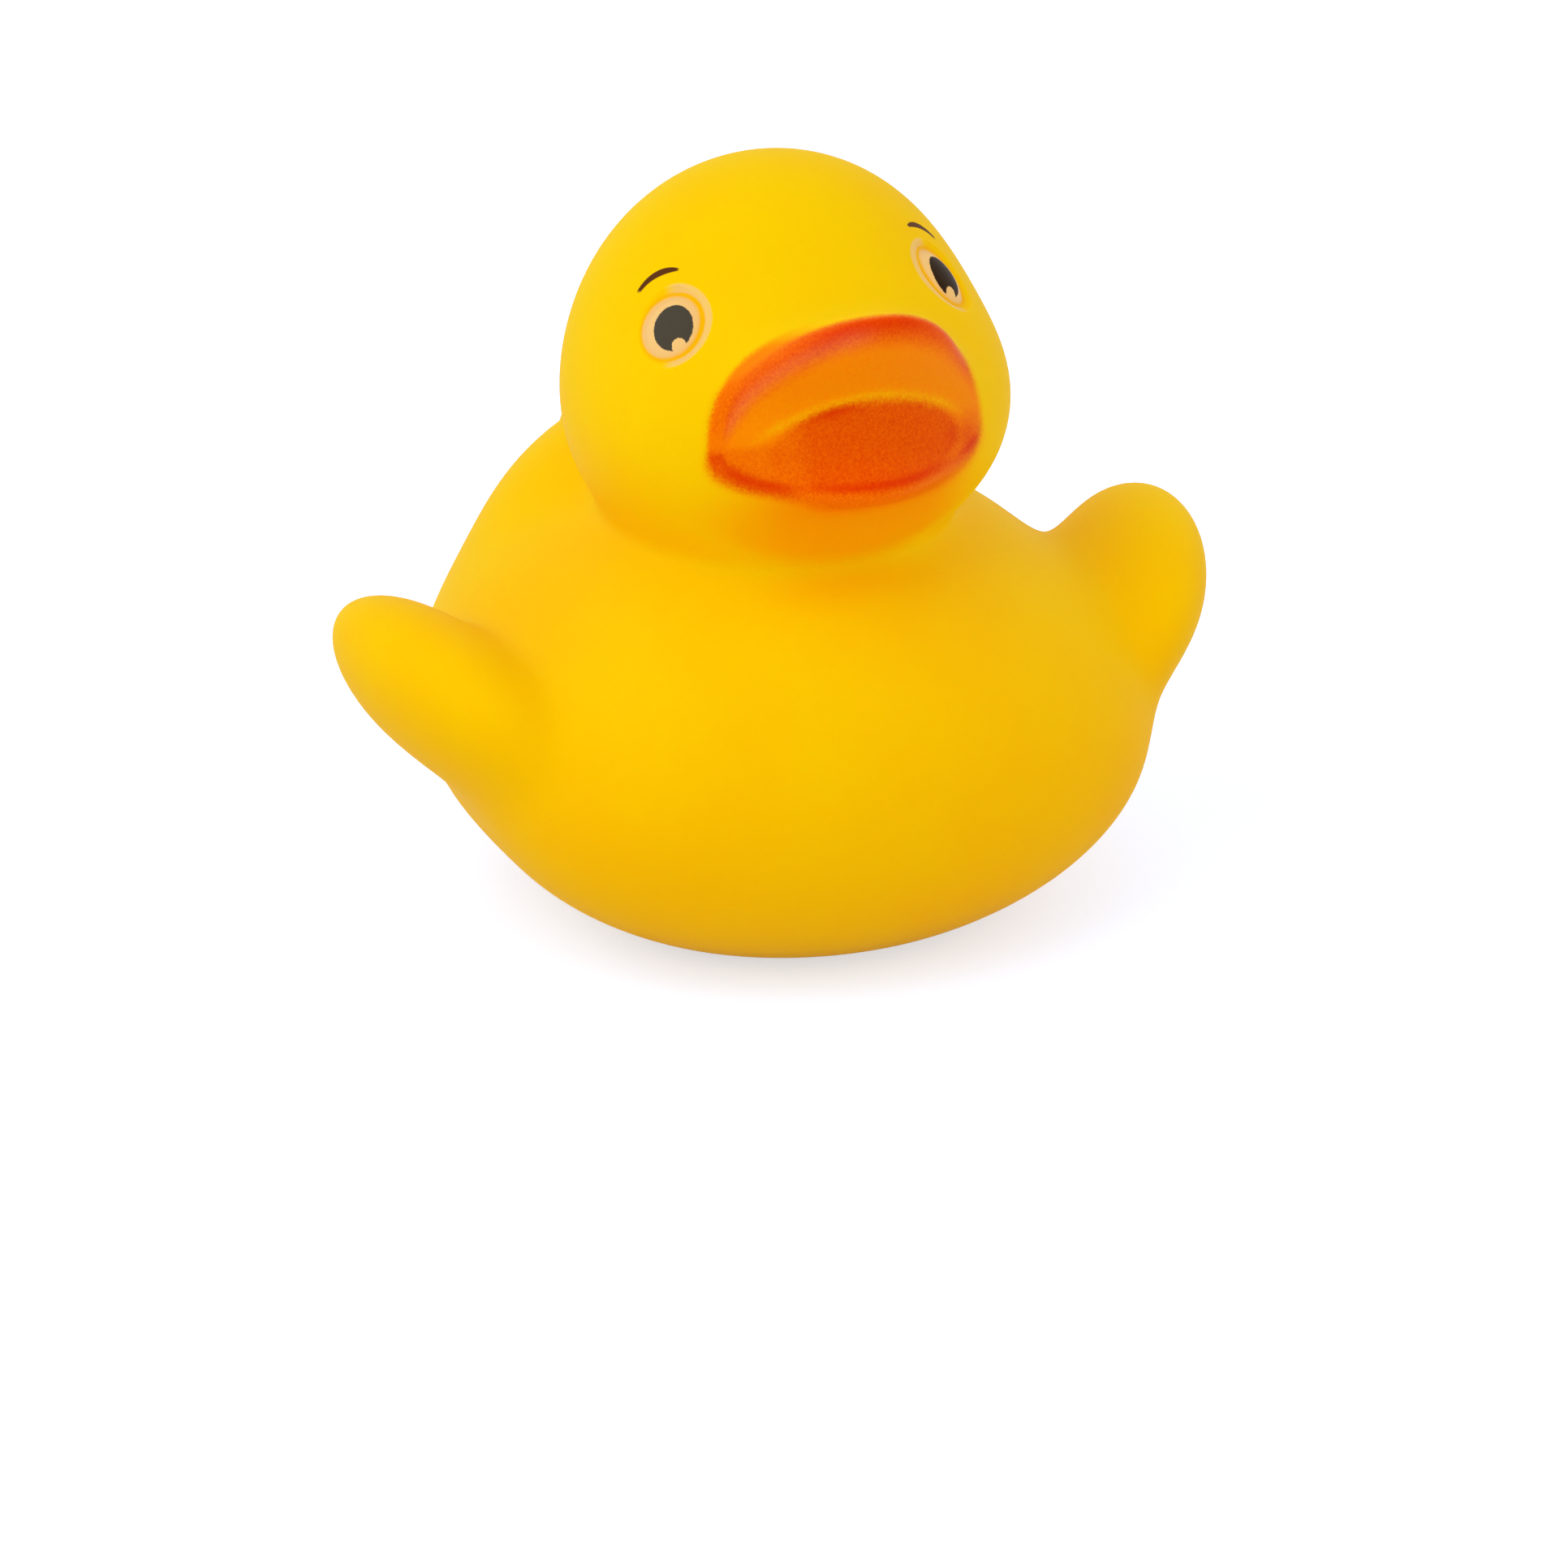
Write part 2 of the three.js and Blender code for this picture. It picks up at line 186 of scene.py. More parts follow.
MOUTH_HALF_WIDTH = 8.0
BILL_PITCH = np.radians(18)
BILL_TAPER = 0.16
UPPER_JAW_HEIGHT = 6.9
UPPER_JAW_FULLNESS = 2.35
LOWER_JAW_HEIGHT = 3.9
LOWER_JAW_FULLNESS = 2.0
CORNER_ABOVE_CHEEK = 0.4
MOUTH_DEPTH = 4.3
MOUTH_RISE = 2.4
PALATE_SLOPE = 0.77
PALATE_HOLLOW = 0.35
CREASE_BLEND = 0.7
SHORTEST_FLOOR = LOWER_JAW_HEIGHT / 4
TONGUE_DISH = 0.8
TONGUE_SHARE = 0.78
LOWER_LIP_BEAD = 0.35
LOWER_LIP_SHARE = 0.3
LIP_ROUNDNESS = 2.6
BILL_ROOT_BLEND = 1.6
HALVINGS = 40


def head_reach(azimuth, height):
    """The point where the head ends in a level direction from its middle."""
    near, far = 0.0, CROWN[0] + CHEEKS[0]
    for _ in range(HALVINGS):
        reach = (near + far) / 2
        level = [reach * np.sin(azimuth), crown_centre[1] - reach * np.cos(azimuth), height]
        point = np.array(level)
        near, far = (reach, far) if head(point) < 0 else (near, reach)
    return point


mouth_middle = head_reach(
    np.arcsin(MOUTH_HALF_WIDTH / (CHEEKS[0] / 2)), cheek_centre[2] + CORNER_ABOVE_CHEEK
)
mouth_middle[0] = 0


def bill_half_width(reach):
    """Half the bill's width, which falls from the mouth's corners to the tip."""
    return np.maximum(MOUTH_HALF_WIDTH - BILL_TAPER * reach, MOUTH_HALF_WIDTH / 2)


def in_bill(p):
    """Across (1 at the mouth's corners), reach and rise in the bill's own tipped frame."""
    y, z = mouth_middle[1] - p[..., 1], p[..., 2] - mouth_middle[2]
    reach = y * np.cos(BILL_PITCH) + z * np.sin(BILL_PITCH)
    rise = z * np.cos(BILL_PITCH) - y * np.sin(BILL_PITCH)
    return p[..., 0] / bill_half_width(reach), reach, rise


def mouth_surface(across, rise):
    """The reach at which the palate, tongue and lower lip lie."""
    narrow = 1 - across**2
    opened = np.maximum(narrow, 0)
    crease = MOUTH_DEPTH * narrow
    above = rise - MOUTH_RISE * narrow
    hollow = PALATE_HOLLOW * np.maximum(above, 0) / (UPPER_JAW_HEIGHT - MOUTH_RISE)
    roof = crease + PALATE_SLOPE * above * (1 - PALATE_HOLLOW + hollow)
    floor_length = MOUTH_RISE * narrow + LOWER_JAW_HEIGHT * np.sqrt(opened)
    down = -above / np.maximum(floor_length, SHORTEST_FLOOR)
    dish = np.sin(np.pi * np.clip(down / TONGUE_SHARE, 0, 1))
    bead = np.sin(np.pi * np.clip((down - TONGUE_SHARE) / LOWER_LIP_SHARE, 0, 1))
    tongue = crease + opened * (LOWER_LIP_BEAD * bead - TONGUE_DISH * dish)
    return common(roof, tongue, CREASE_BLEND)


def full_oval(x, y, half_width, half_height, fullness):
    """Distance to an oval that is squarer than an ellipse where its fullness is over 2."""
    across, up = np.abs(x) / half_width, np.abs(y) / half_height
    size = np.maximum((across**fullness + up**fullness) ** (1 / fullness), TINY)
    slope_x = (across / size) ** (fullness - 1) / half_width
    slope_y = (up / size) ** (fullness - 1) / half_height
    return (size - 1) / np.maximum(np.hypot(slope_x, slope_y), TINY)


def bill(p):
    """Distance to the two jaws, whose root ends inside the head."""
    across, reach, rise = in_bill(p)
    height = np.where(rise > 0, UPPER_JAW_HEIGHT, LOWER_JAW_HEIGHT)
    fullness = np.where(rise > 0, UPPER_JAW_FULLNESS, LOWER_JAW_FULLNESS)
    outline = full_oval(p[..., 0], rise, bill_half_width(reach), height, fullness)
    front = (reach - mouth_surface(across, rise)) * np.cos(np.arctan(PALATE_SLOPE))
    return np.maximum(common(outline, front, LIP_ROUNDNESS), -reach - MOUTH_DEPTH)


# The eyes
# Part of the same casting: on each side of the forehead a dome stands in a shallow round socket.
# The left eye came out of the mould higher and narrower than the right, and nearer the bill.

EYE_AZIMUTH = np.radians(53)
EYE_LEVEL = 37.1
RIGHT_EYE_DROP = 0.4
LEFT_EYE_RISE = 0.65
LEFT_EYE_INWARD = 0.55
LEFT_EYE_WIDTH = 0.9
SOCKET = (4.5, 4.8)
SOCKET_DEPTH = 0.45
EYEBALL = (3.5, 3.8)
EYEBALL_PROUD = 0.2
EYE_BLEND = 0.15
NEARBY = 0.01


def slope_of(form, p):
    """The way a form's distance grows at each point, and how fast."""
    steps = NEARBY * np.eye(3)
    return np.stack([form(p + s) - form(p - s) for s in steps], -1) / (2 * NEARBY)


eye_centre = head_reach(EYE_AZIMUTH, EYE_LEVEL)
eye_out = unit(slope_of(head, eye_centre))
eye_across = unit(np.cross([0, 0, 1], eye_out))
eye_up = np.cross(eye_out, eye_across)


def in_eye(p):
    """Across (away from the bill), up and out from the middle of the eye on the point's side."""
    q = mirrored(p) - eye_centre
    on_left = p[..., 0] > 0
    up = q @ eye_up - np.where(on_left, LEFT_EYE_RISE, -RIGHT_EYE_DROP)
    across = (q @ eye_across + LEFT_EYE_INWARD * on_left) / np.where(on_left, LEFT_EYE_WIDTH, 1)
    return np.stack([across, up, q @ eye_out], -1)


def with_eyes(p, skin):
    """Distance to the skin once the sockets are sunk in it and the domes stand in them."""
    eye = in_eye(p)
    socket = egg(eye, (0, 0, 0), (*SOCKET, 2 * SOCKET_DEPTH))
    proud = SOCKET_DEPTH + EYEBALL_PROUD
    eyeball = egg(eye, (0, 0, -SOCKET_DEPTH), (*EYEBALL, 2 * proud))
    return join(common(skin, -socket, EYE_BLEND), eyeball, EYE_BLEND)


def duck(p):
    """Distance to the whole outside of the duck."""
    bird = join(join(trunk(p), head(p), NECK_BLEND), wings(p), WING_BLEND)
    return with_eyes(p, join(bird, bill(p), BILL_ROOT_BLEND))


# The casting
# What the mould leaves: a skin of even thickness round a hollow, with a round hole through the
# middle of the base where it drains and breathes. Its surface is laid as a net of small cells.

WALL = 1.6
VENT_DIAMETER = 3.0
VENT_EDGE = 0.35
CELL = 0.62
NET_LOW = (-29.0, -28.0, -1.3)
NET_HIGH = (29.0, 29.0, 45.5)
SETTLE_PASSES = 3
LEAST_STEEP = 0.05


def casting(p):
    """Distance to the skin round the hollow, with the vent through it."""
    outside = duck(p)
    bore = np.hypot(p[..., 0], p[..., 1]) - VENT_DIAMETER / 2
    drill = np.maximum(bore, p[..., 2] - 2 * WALL)
    shell = common(outside, -(outside + WALL), VENT_EDGE)
    return common(shell, -drill, VENT_EDGE)


def settle(form, p, passes):
    """Moves points onto the surface of a form."""
    for _ in range(passes):
        slope = slope_of(form, p)
        steep = np.maximum((slope**2).sum(-1), LEAST_STEEP)
        p = p - slope * (np.clip(form(p), -CELL, CELL) / steep)[:, None]
    return p


def lattice(form):
    """A form's distances at the corners of a block of cells, some of them on the plane X = 0."""
    low = np.array(NET_LOW)
    counts = np.ceil((np.array(NET_HIGH) - low) / CELL).astype(int)
    low[0] = -CELL * (counts[0] // 2)
    axes = [low[a] + CELL * np.arange(counts[a] + 1) for a in range(3)]
    slabs = [np.stack(np.meshgrid(x, *axes[1:], indexing="ij"), -1) for x in axes[0]]
    return low, counts, np.concatenate([form(slab) for slab in slabs])


def ends_along(axis, values, window):
    """What the lattice has at the start and at the end of each cell edge along an axis."""
    start, end = list(window), list(window)
    start[axis] = slice(0, values.shape[axis] - 1)
    end[axis] = slice(1, values.shape[axis])
    return values[tuple(start)], values[tuple(end)]


def crossings(value, counts):
    """How many edges of each cell the surface crosses, and the sum of the places in the cell."""
    total = np.zeros(tuple(counts))
    place = np.zeros((*counts, 3))
    for axis in range(3):
        b, c = (axis + 1) % 3, (axis + 2) % 3
        for db, dc in ((0, 0), (0, 1), (1, 0), (1, 1)):
            window = [slice(0, n) for n in counts]
            window[b] = slice(db, counts[b] + db)
            window[c] = slice(dc, counts[c] + dc)
            start, end = ends_along(axis, value, window)
            crossed = (start < 0) != (end < 0)
            total += crossed
            place[..., axis] += np.where(crossed, start / np.where(crossed, start - end, 1), 0)
            place[..., b] += db * crossed
            place[..., c] += dc * crossed
    return total, place


def four_sided_faces(value, counts, number):
    """A face round each cell edge that the surface crosses, with its front outwards."""
    faces = []
    for axis in range(3):
        b, c = (axis + 1) % 3, (axis + 2) % 3
        start, end = ends_along(axis, value < 0, [slice(1, n) for n in counts])
        at = np.argwhere(start != end) + [0 if a == axis else 1 for a in range(3)]
        outward = start[start != end]
        corners = []
        for db, dc in ((0, 0), (1, 0), (1, 1), (0, 1)):
            step = np.zeros(3, int)
            step[b], step[c] = db, dc
            corners.append(number[tuple((at - step).T)])
        face = np.stack(corners, -1)
        face[~outward] = face[~outward][:, ::-1]
        faces.append(face)
    return np.concatenate(faces)


def halved(knots, faces):
    """Splits four-sided faces into two triangles along the shorter diagonal."""
    across_a = np.linalg.norm(knots[faces[:, 0]] - knots[faces[:, 2]], axis=1)
    across_b = np.linalg.norm(knots[faces[:, 1]] - knots[faces[:, 3]], axis=1)
    turned = across_b < across_a
    faces[turned] = np.roll(faces[turned], 1, axis=1)
    return np.concatenate([faces[:, [0, 1, 2]], faces[:, [0, 2, 3]]])


def net(form):
    """Lays a net over a form, with one knot in each cell that its surface crosses."""
    low, counts, value = lattice(form)
    total, place = crossings(value, counts)
    used = total > 0
    number = np.full(tuple(counts), -1)
    number[used] = np.arange(used.sum())
    knots = low + CELL * (np.argwhere(used) + place[used] / total[used][:, None])
    triangles = halved(knots, four_sided_faces(value, counts, number))
    return settle(form, knots, SETTLE_PASSES), triangles


def largest_piece(knots, triangles):
    """Leaves out any small pocket that the wall cuts off from the hollow."""
    label = np.arange(len(knots))
    while True:
        lowest = label[triangles].min(1)
        before = label.copy()
        np.minimum.at(label, triangles.ravel(), np.repeat(lowest, 3))
        label = label[label]
        if (label == before).all():
            break
    kept = label == np.bincount(label[triangles[:, 0]]).argmax()
    number = np.cumsum(kept) - 1
    return knots[kept], number[triangles[kept[triangles[:, 0]]]]


REFINEMENTS = 3
RESETTLE_PASSES = 2
CHORD_ERROR = 0.006
FINEST_EDGE = 0.16
FACE_EDGE = 0.24
COARSEST_EDGE = 0.9
FINE_BILL_ACROSS = 1.12
FINE_BILL_REACH = -1.0
FINE_BILL_BOTTOM = -5.2
FINE_BILL_TOP = 7.6
FINE_EYE_RADIUS = 2.9


def to_split(middle, settled, length):
    """Which edges are split: where the surface bends, and all the long ones on the face."""
    bent = np.linalg.norm(settled - middle, axis=1) > CHORD_ERROR
    across, reach, rise = in_bill(middle)
    on_bill = (np.abs(across) < FINE_BILL_ACROSS) & (reach > FINE_BILL_REACH)
    on_bill &= (rise > FINE_BILL_BOTTOM) & (rise < FINE_BILL_TOP)
    eye = in_eye(middle)
    on_eye = np.hypot(eye[:, 0], eye[:, 1]) < FINE_EYE_RADIUS
    wanted = (bent & (length > FINEST_EDGE)) | (length > COARSEST_EDGE)
    wanted |= (on_bill | on_eye) & (length > FACE_EDGE)
    return wanted & (np.abs(duck(middle)) < WALL / 2)


def refine(form, knots, triangles):
    """Splits edges in half, and each triangle into as many parts as its split edges ask for."""
    sides = np.sort(triangles[:, [[0, 1], [1, 2], [2, 0]]].reshape(-1, 2), axis=1)
    edges, side_edge = np.unique(sides, axis=0, return_inverse=True)
    start, end = knots[edges[:, 0]], knots[edges[:, 1]]
    middle = (start + end) / 2
    settled = settle(form, middle, RESETTLE_PASSES)
    split = to_split(middle, settled, np.linalg.norm(start - end, axis=1))
    new = np.full(len(edges), -1)
    new[split] = len(knots) + np.arange(split.sum())
    knots = np.concatenate([knots, settled[split]])
    m = new[side_edge.reshape(-1, 3)]
    done = [triangles[(m < 0).all(1)]]
    for turn in range(3):
        a, b, c = (triangles[:, (turn + k) % 3] for k in range(3))
        ab, bc, ca = (m[:, (turn + k) % 3] for k in range(3))
        one = (ab >= 0) & (bc < 0) & (ca < 0)
        done.append(np.stack([a, ab, c], 1)[one])
        done.append(np.stack([ab, b, c], 1)[one])
        two = (ab >= 0) & (bc >= 0) & (ca < 0)
        done.append(np.stack([ab, b, bc], 1)[two])
        done.append(np.stack([a, ab, c], 1)[two])
        done.append(np.stack([ab, bc, c], 1)[two])
    a, b, c = triangles.T
    ab, bc, ca = m.T
    three = (m >= 0).all(1)
    for part in ((a, ab, ca), (ab, b, bc), (ca, bc, c), (ab, bc, ca)):
        done.append(np.stack(part, 1)[three])
    return knots, np.concatenate(done)


knots, triangles = largest_piece(*net(casting))
for _ in range(REFINEMENTS):
    knots, triangles = refine(casting, knots, triangles)

MM = 0.001
low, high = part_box("duck_moulding")
recentre = (low.y + high.y) / 2 / MM - (knots[:, 1].min() + knots[:, 1].max()) / 2
slope = slope_of(casting, knots)
scene = bpy.context.scene
mesh = bpy.data.meshes.new("duck_skin")
mesh.from_pydata(((knots + [0, recentre, 0]) * MM).tolist(), [], triangles.tolist())
mesh.shade_smooth()
mesh.update()
duck_skin = bpy.data.objects.new("duck_skin", mesh)
scene.collection.objects.link(duck_skin)
mesh.normals_split_custom_set_from_vertices(
    (slope / np.linalg.norm(slope, axis=1)[:, None]).tolist()
)


# The sprayed paint
# Orange over the bill and red on the lips and tongue, sprayed through a mask onto the finished
# casting. A darker red line along the groove is painted shade, and the orange below the bill is
# partly mist from the spray and partly a painted reflection of the bill. Its density is kept at the
# knots of the mesh. A pair for ease is where a coat begins and is full, and one for hump its middle
# and width, in the bill's own frame.


def keep(name, values):
    """Stores one number, or three, at each knot."""
    kind = "FLOAT_VECTOR" if values.ndim == 2 else "FLOAT"
    attribute = mesh.attributes.new(name, kind, "POINT")
    attribute.data.foreach_set("vector" if values.ndim == 2 else "value", values.ravel())


def ease(value, start, end):
    """0 before start, 1 after end, and a smooth rise between."""
    t = np.clip((value - start) / (end - start), 0, 1)
    return t * t * (3 - 2 * t)


def less(share, value, start, end):
    """1 before start, less by a share after end, and a smooth fall between."""
    return 1 - share * ease(value, start, end)


def hump(value, middle, width):
    """1 at the middle, falling away smoothly on both sides."""
    return np.exp(-(((value - middle) / width) ** 2))


SKIN_NOT_HOLLOW = (-2.6, -1.8)
FRONT_NOT_HOLLOW = (-2.2, -1.2)

across, reach, rise = in_bill(knots)
x = across * MOUTH_HALF_WIDTH
full = np.clip(1 - np.abs(across) ** UPPER_JAW_FULLNESS, 0, 1)
below_rim = UPPER_JAW_HEIGHT * full ** (1 / UPPER_JAW_FULLNESS) - rise
above_crease = rise - MOUTH_RISE * np.clip(1 - across**2, 0, 1)
on_skin = ease(reach, *SKIN_NOT_HOLLOW)
on_front = on_skin * ease(reach - mouth_surface(across, rise), *FRONT_NOT_HOLLOW)

MASK_HALF_WIDTH = 8.3
MASK_SHIFT = 0.3
MASK_TOP = 6.75
MASK_BOTTOM = 4.0
MASK_FULLNESS = 2.3
MASK_PINCH = 0.22
MASK_PINCH_RIGHT = (-2.0, -6.0)
MASK_SOFT = 0.12
MASK_SOFTER = 0.35
MASK_SOFTER_BELOW = (0.5, -1.5)
MASK_SOFTER_STILL = 0.25
MASK_SOFTER_LEFT = (4.0, 7.0)
CREASE_THINNING = 0.42
CREASE_LINE = (-0.12, 0.34)
CREASE_ENDS = (7.6, 5.0)
ROOF_THINNING = 0.10
ROOF_ABOVE_CREASE = (-0.2, 0.6)
ROOF_BELOW_RIM = (0.8, 2.4)

mask_x = x + MASK_SHIFT
mask_bottom = MASK_BOTTOM * less(MASK_PINCH, x, *MASK_PINCH_RIGHT)
upper_edge = full_oval(mask_x, rise, MASK_HALF_WIDTH, MASK_TOP, MASK_FULLNESS)
lower_edge = full_oval(mask_x, rise, MASK_HALF_WIDTH, mask_bottom, MASK_FULLNESS)
masked = np.where(rise > 0, upper_edge, lower_edge)
soft = MASK_SOFT + MASK_SOFTER * ease(rise, *MASK_SOFTER_BELOW)
soft += MASK_SOFTER_STILL * ease(x, *MASK_SOFTER_LEFT)
orange_area = ease(masked, soft, -soft) * on_skin
at_crease = hump(above_crease, *CREASE_LINE) * ease(np.abs(x), *CREASE_ENDS)
in_roof = ease(above_crease, *ROOF_ABOVE_CREASE) * ease(below_rim, *ROOF_BELOW_RIM)
thinned = (1 - CREASE_THINNING * at_crease) * (1 - ROOF_THINNING * in_roof)
keep("orange_coat", orange_area * thinned)

LIP_DEPTH = 2.3
LIP_DEEPER = 0.6
LIP_DEEPER_RIGHT = (-2.0, -5.0)
LIP_FULL_DEPTH = 0.5
RIM_THINNING = 0.4
RIM_THIN = (0.5, -0.1)
LIP_END_RIGHT = (-0.6, 2.4)
LIP_END_LEFT = (1.2, 3.4)
LIP_THINNING = 0.35
LIP_THIN_LEFT = (2.0, 6.5)
LIP_THIN_RIGHT = (-2.5, -5.5)

lip_depth = LIP_DEPTH + LIP_DEEPER * ease(x, *LIP_DEEPER_RIGHT)
upper_lip = ease(below_rim, lip_depth, LIP_FULL_DEPTH) * less(RIM_THINNING, below_rim, *RIM_THIN)
upper_lip *= np.where(x < 0, ease(rise, *LIP_END_RIGHT), ease(rise, *LIP_END_LEFT))
upper_lip *= less(LIP_THINNING, x, *LIP_THIN_LEFT) * less(LIP_THINNING, x, *LIP_THIN_RIGHT)

TONGUE_MIDDLE = (0.2, -0.45)
TONGUE_HALF = (6.0, 2.5)
TONGUE_FULLNESS = 2.2
TONGUE_EDGE = (0.35, -0.55)
TONGUE_THINNING = 0.55
TONGUE_THIN_RIGHT = (-3.2, -5.4)
SPECKS_LINE = (-0.1, 0.3)
SPECKS_ABOVE = (-0.4, 0.6)
SPECKS_ACROSS = (-2.2, 2.0)

tongue_x, tongue_rise = x - TONGUE_MIDDLE[0], rise - TONGUE_MIDDLE[1]
patch = full_oval(tongue_x, tongue_rise, *TONGUE_HALF, TONGUE_FULLNESS)
tongue = ease(patch, *TONGUE_EDGE) * less(TONGUE_THINNING, x, *TONGUE_THIN_RIGHT)
specks = hump(patch, *SPECKS_LINE) * ease(rise, *SPECKS_ABOVE) * hump(x, *SPECKS_ACROSS)

GROOVE_DROP = 2.75
GROOVE_HALF_WIDTH = 8.0
GROOVE_LINE = (0.0, 0.33)
GROOVE_ENDS = (8.3, 7.2)
LOWER_LIP_UNDER_GROOVE = (0.5, -0.1)
RIGHT_CORNER_LINE = (-0.1, 0.6)
RIGHT_CORNER_ACROSS = (-4.0, -6.0)
LEFT_CORNER_ACROSS = (6.9, 1.0)
LEFT_CORNER_RISE = (-0.8, 1.1)
RIGHT_FLOOR_ACROSS = (-4.0, -5.5)
RIGHT_FLOOR_RISE = (0.6, 0.0)

groove_drop = GROOVE_DROP * np.sqrt(np.clip(1 - (x / GROOVE_HALF_WIDTH) ** 2, 0, 1))
above_groove = rise + groove_drop
# Painted shade: a darker red line along the groove between the tongue and the lower lip.
groove_shade = hump(above_groove, *GROOVE_LINE) * ease(np.abs(x), *GROOVE_ENDS)
lower_lip = ease(above_groove, *LOWER_LIP_UNDER_GROOVE) * orange_area
right_corner = hump(above_groove, *RIGHT_CORNER_LINE) * ease(x, *RIGHT_CORNER_ACROSS)
left_corner = hump(x, *LEFT_CORNER_ACROSS) * hump(rise, *LEFT_CORNER_RISE)
right_floor = ease(x, *RIGHT_FLOOR_ACROSS) * ease(rise, *RIGHT_FLOOR_RISE) * (1 - tongue)

UPPER_LIP_RED = 0.90
TONGUE_RED = 0.66
SPECKS_RED = 0.55
GROOVE_SHADE_RED = 0.18
LOWER_LIP_RED = 0.32
RIGHT_CORNER_RED = 0.12
LEFT_CORNER_RED = 0.60
RIGHT_FLOOR_RED = 0.30
MOST_RED = 0.97
RED_EDGE = (0.35, -0.2)

red_area = UPPER_LIP_RED * upper_lip + TONGUE_RED * tongue + SPECKS_RED * specks
red_area += GROOVE_SHADE_RED * groove_shade + LOWER_LIP_RED * lower_lip
red_area += RIGHT_CORNER_RED * right_corner + LEFT_CORNER_RED * left_corner
red_area += RIGHT_FLOOR_RED * right_floor
keep("red_coat", np.clip(red_area, 0, MOST_RED) * on_front * ease(masked, *RED_EDGE))

WET = 0.5
WET_LINE = (1.2, 0.6)
WET_ABOVE = (0.5, 2.0)
WET_RIGHT = (1.0, -2.0)
MIST_AND_REFLECTION_BELOW = (0.5, -3.5)
MIST_AND_REFLECTION_ROUND_MASK = (6.0, 0.0)
MIST_AND_REFLECTION_REACH = (-3.0, -1.0)
MIST_AND_REFLECTION_ACROSS = (9.5, 4.0)

wet_area = hump(below_rim, *WET_LINE) * ease(rise, *WET_ABOVE) * ease(x, *WET_RIGHT)
keep("wet_coat", WET * wet_area * orange_area)
keep("left_side", (knots[:, 0] > 0).astype(float))
# An orange tint below the bill, partly mist from the spray and partly a painted reflection of the
# orange bill.
mist_and_reflection_area = ease(rise, *MIST_AND_REFLECTION_BELOW) * ease(lower_edge, *MIST_AND_REFLECTION_ROUND_MASK) * ease(reach, *MIST_AND_REFLECTION_REACH)
keep("orange_mist_and_reflection", mist_and_reflection_area * ease(np.abs(x), *MIST_AND_REFLECTION_ACROSS))
keep("eye_place", in_eye(knots))


# The painted vinyl
# Matt yellow vinyl, which light enters a little way, under thin glossy paint with the grain of the
# spray. Each eye is stamped: a cream oval, a dark pupil with a notch, part of a ring, and a brow.
# Sizes in the eye are millimetres from its middle, away from the bill and up.

YELLOW = (0.98, 0.61, 0.0, 1)
DEEP_YELLOW = (0.98, 0.41, 0.0, 1)
ORANGE = (1.0, 0.225, 0.0, 1)
RED = (0.72, 0.028, 0.0, 1)
CREAM = (0.90, 0.56, 0.22, 1)
PUPIL = (0.022, 0.009, 0.004, 1)
PUPIL_PAINTED_REFLECTION = (0.060, 0.053, 0.044, 1)
BROW = (0.10, 0.028, 0.008, 1)
SHEEN = (1.0, 0.80, 0.10, 1)


class Graph:
    """A node tree, written as calls that take a name, the inputs and the settings."""

    def __init__(self, tree):
        self.tree = tree

    def plug(self, value, socket):
        """Links an output to a socket, or sets the socket to a plain value."""
        if isinstance(value, bpy.types.NodeSocket):
            self.tree.links.new(value, socket)
        else:
            socket.default_value = value

    def node(self, kind, inputs=None, **settings):
        node = self.tree.nodes.new(kind)
        for name, value in settings.items():
            setattr(node, name, value)
        for name, value in (inputs or {}).items():
            self.plug(value, node.inputs[name])
        return node

    def math(self, operation, *values, clamp=False):
        inputs = dict(enumerate(values))
        return self.node("ShaderNodeMath", inputs, operation=operation, use_clamp=clamp).outputs[0]

    def times(self, first, *others):
        for other in others:
            first = self.math("MULTIPLY", first, other)
        return first

    def rest(self, mask):
        """What a mask leaves of 1."""
        return self.math("SUBTRACT", 1.0, mask)

    def off(self, value, middle):
        """How far a value is from a middle, either way."""
        return self.math("ABSOLUTE", self.math("SUBTRACT", value, middle))

    def step(self, value, start, end):
        """0 before start, 1 after end, and a smooth rise between."""
        inputs = {"Value": value, "From Min": start, "From Max": end}
        node = self.node("ShaderNodeMapRange", inputs, interpolation_type="SMOOTHSTEP")
        return node.outputs["Result"]

    def mix(self, factor, a, b):
        """Colour b laid over colour a."""
        node = self.node("ShaderNodeMix", data_type="RGBA")
        sockets = {socket.identifier: socket for socket in node.inputs}
        for name, value in (("Factor_Float", factor), ("A_Color", a), ("B_Color", b)):
            self.plug(value, sockets[name])
        return next(s for s in node.outputs if s.identifier == "Result_Color")

    def noise(self, place, scale, detail, roughness=0.5):
        inputs = {"Vector": place, "Scale": scale, "Detail": detail, "Roughness": roughness}
        return self.node("ShaderNodeTexNoise", inputs).outputs["Fac"]

    def group(self, group, inputs):
        return self.node("ShaderNodeGroup", inputs, node_tree=group.tree).outputs

    def stored(self, name, output="Fac"):
        """What was kept at the knots of the mesh."""
        return self.node("ShaderNodeAttribute", attribute_name=name).outputs[output]


def new_group(name, inputs, outputs):
    """A shader node group with named sockets, ready to be filled."""
    tree = bpy.data.node_groups.new(name, "ShaderNodeTree")
    for label, kind, value in inputs:
        socket = tree.interface.new_socket(label, in_out="INPUT", socket_type=kind)
        if value is not None:
            socket.default_value = value
    for label, kind in outputs:
        tree.interface.new_socket(label, in_out="OUTPUT", socket_type=kind)
    graph = Graph(tree)
    return graph, graph.node("NodeGroupInput").outputs, graph.node("NodeGroupOutput").inputs


NUMBER, VECTOR = "NodeSocketFloat", "NodeSocketVector"
NOISE_MIDDLE = 0.5
OPEN_AREA_GAIN = 8.0

